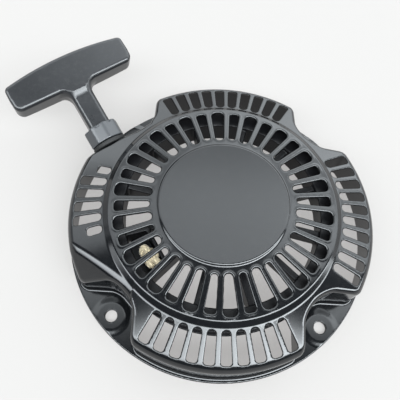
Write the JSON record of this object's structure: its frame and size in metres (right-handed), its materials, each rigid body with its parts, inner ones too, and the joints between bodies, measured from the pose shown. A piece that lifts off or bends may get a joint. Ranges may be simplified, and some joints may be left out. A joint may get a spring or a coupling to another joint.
{
  "type": "recoil starter",
  "caption": "Pull-cord recoil starter: a vented stamped cover over a spring-returned rope reel with swing-out pawls, started by a T-handle.",
  "frame": {"origin": "centre of the four-hole bolt circle, on the mounting plane under the flange", "axes": "+Z along the crankshaft axis, out of the engine through the cover; the four lugs stand at 45 degrees to +X and +Y; the rope leaves towards -X and +Y"},
  "size_m": [0.2348, 0.2085, 0.049],
  "materials": {
    "black_paint": "satin black paint on pressed sheet steel",
    "zinc_steel": "zinc-plated steel",
    "spring_steel": "blued spring steel, oiled",
    "bronze": "oil-filled bronze",
    "reel_plastic": "black glass-filled nylon",
    "guide_rubber": "black moulded rubber",
    "rope": "black braided nylon",
    "pale_rope": "cream braided nylon",
    "grip_plastic": "black moulded plastic, smooth",
    "collar_plastic": "dark grey moulded plastic"
  },
  "bodies": {
    "housing": {"cover": "black_paint", "post": "zinc_steel", "thrust_washer": "zinc_steel", "centre_screw": "zinc_steel", "friction_spring": "spring_steel", "spring_cup": "zinc_steel", "spring_retainer": "zinc_steel", "spring_pin": "spring_steel", "recoil_spring": "spring_steel", "rope_guide": "guide_rubber", "rope_run": "rope"},
    "reel_wheel": {"reel": "reel_plastic", "reel_rim": "reel_plastic", "reel_bush": "bronze", "rope_coil": "rope", "reel_knot": "pale_rope", "pawl_pins": "zinc_steel", "pawl_springs": "spring_steel"},
    "ratchet_plate": {"friction_plate": "zinc_steel"},
    "pawl_one": {"pawl_a": "zinc_steel"},
    "pawl_two": {"pawl_b": "zinc_steel"},
    "pull_handle": {"grip": "grip_plastic", "collar": "collar_plastic", "rope_anchor": "zinc_steel", "rope_lead": "rope", "handle_knot": "rope", "grip_plug": "grip_plastic"}
  },
  "joints": [
    {"name": "reel_spin", "type": "hinge", "parent": "housing", "child": "reel_wheel", "pos_m": [0, 0, 0.02], "axis": [0, 0, -1], "range_deg": [0, 898], "stiffness_Nm_per_rad": 0.01, "springref_deg": -171.89, "deforming": ["recoil_spring"]},
    {"name": "handle_pull", "type": "slide", "parent": "housing", "child": "pull_handle", "axis": [-0.5523, 0.7602, 0.342], "range_m": [0, 1]},
    {"name": "guide_lag", "type": "hinge", "parent": "reel_wheel", "child": "ratchet_plate", "pos_m": [0, 0, 0.0072], "axis": [0, 0, 1], "range_deg": [0, 30]},
    {"name": "pawl_one_swing", "type": "hinge", "parent": "reel_wheel", "child": "pawl_one", "pos_m": [0.017, 0, 0.0102], "axis": [0, 0, 1], "range_deg": [0, 35]},
    {"name": "pawl_two_swing", "type": "hinge", "parent": "reel_wheel", "child": "pawl_two", "pos_m": [-0.017, 0, 0.0102], "axis": [0, 0, 1], "range_deg": [0, 35]}
  ],
  "couplings": [
    {"joint": "handle_pull", "follows": "reel_spin", "m_per_rad": 0.06375},
    {"joint": "pawl_one_swing", "follows": "guide_lag", "ratio": 1.16},
    {"joint": "pawl_two_swing", "follows": "guide_lag", "ratio": 1.16}
  ]
}
